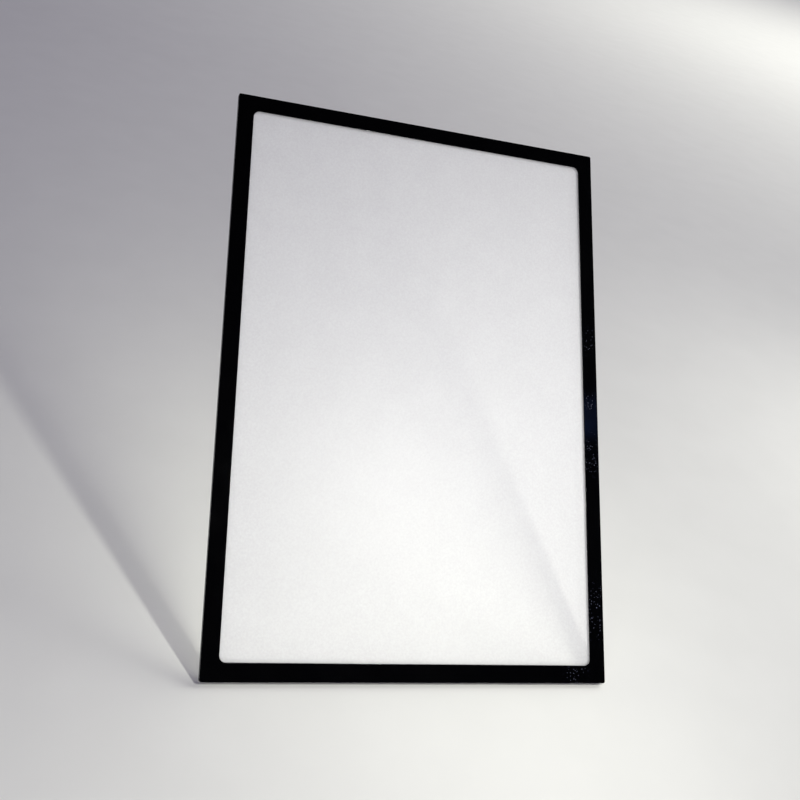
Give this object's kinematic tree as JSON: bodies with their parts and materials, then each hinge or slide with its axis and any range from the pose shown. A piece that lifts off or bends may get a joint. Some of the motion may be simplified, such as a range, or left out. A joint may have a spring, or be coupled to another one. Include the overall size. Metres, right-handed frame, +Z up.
{
  "type": "magnetic document pocket",
  "caption": "Flat document pocket with a black frame round a frosted window, a magnetically closed front leaf hinged on its right side, and magnet strips on the back for a steel board.",
  "frame": {"origin": "middle of the top board magnet's back face, where the pocket meets the board", "axes": "+X to the right seen from the front, +Y into the board, +Z up along the pocket's long side"},
  "size_m": [0.222, 0.0035, 0.309],
  "materials": {
    "frame_pvc": "gloss",
    "frosted_film": "matte",
    "magnet_rubber": "matte",
    "acrylic_tape": "satin",
    "hinge_pvc": "satin"
  },
  "bodies": {
    "rear_leaf": {"rear_frame": "frame_pvc", "rear_film": "frosted_film", "hinge_strip": "hinge_pvc", "keeper_top": "magnet_rubber", "keeper_bottom": "magnet_rubber", "keeper_left": "magnet_rubber", "keeper_tape_top": "acrylic_tape", "keeper_tape_bottom": "acrylic_tape", "keeper_tape_left": "acrylic_tape", "board_tape_top": "acrylic_tape", "board_tape_bottom": "acrylic_tape", "board_tape_left": "acrylic_tape", "board_tape_right": "acrylic_tape", "board_magnet_top": "magnet_rubber", "board_magnet_bottom": "magnet_rubber", "board_magnet_left": "magnet_rubber", "board_magnet_right": "magnet_rubber"},
    "front_leaf": {"front_frame": "frame_pvc", "front_film": "frosted_film", "closing_magnet_top": "magnet_rubber", "closing_magnet_bottom": "magnet_rubber", "closing_magnet_left": "magnet_rubber", "closing_tape_top": "acrylic_tape", "closing_tape_bottom": "acrylic_tape", "closing_tape_left": "acrylic_tape"}
  },
  "joints": [
    {"name": "cover_hinge", "type": "hinge", "parent": "rear_leaf", "child": "front_leaf", "pos_m": [0.1111, -0.00213, -0.15], "axis": [0, 0, 1], "range_deg": [0, 180], "deforming": ["hinge_strip"]}
  ]
}
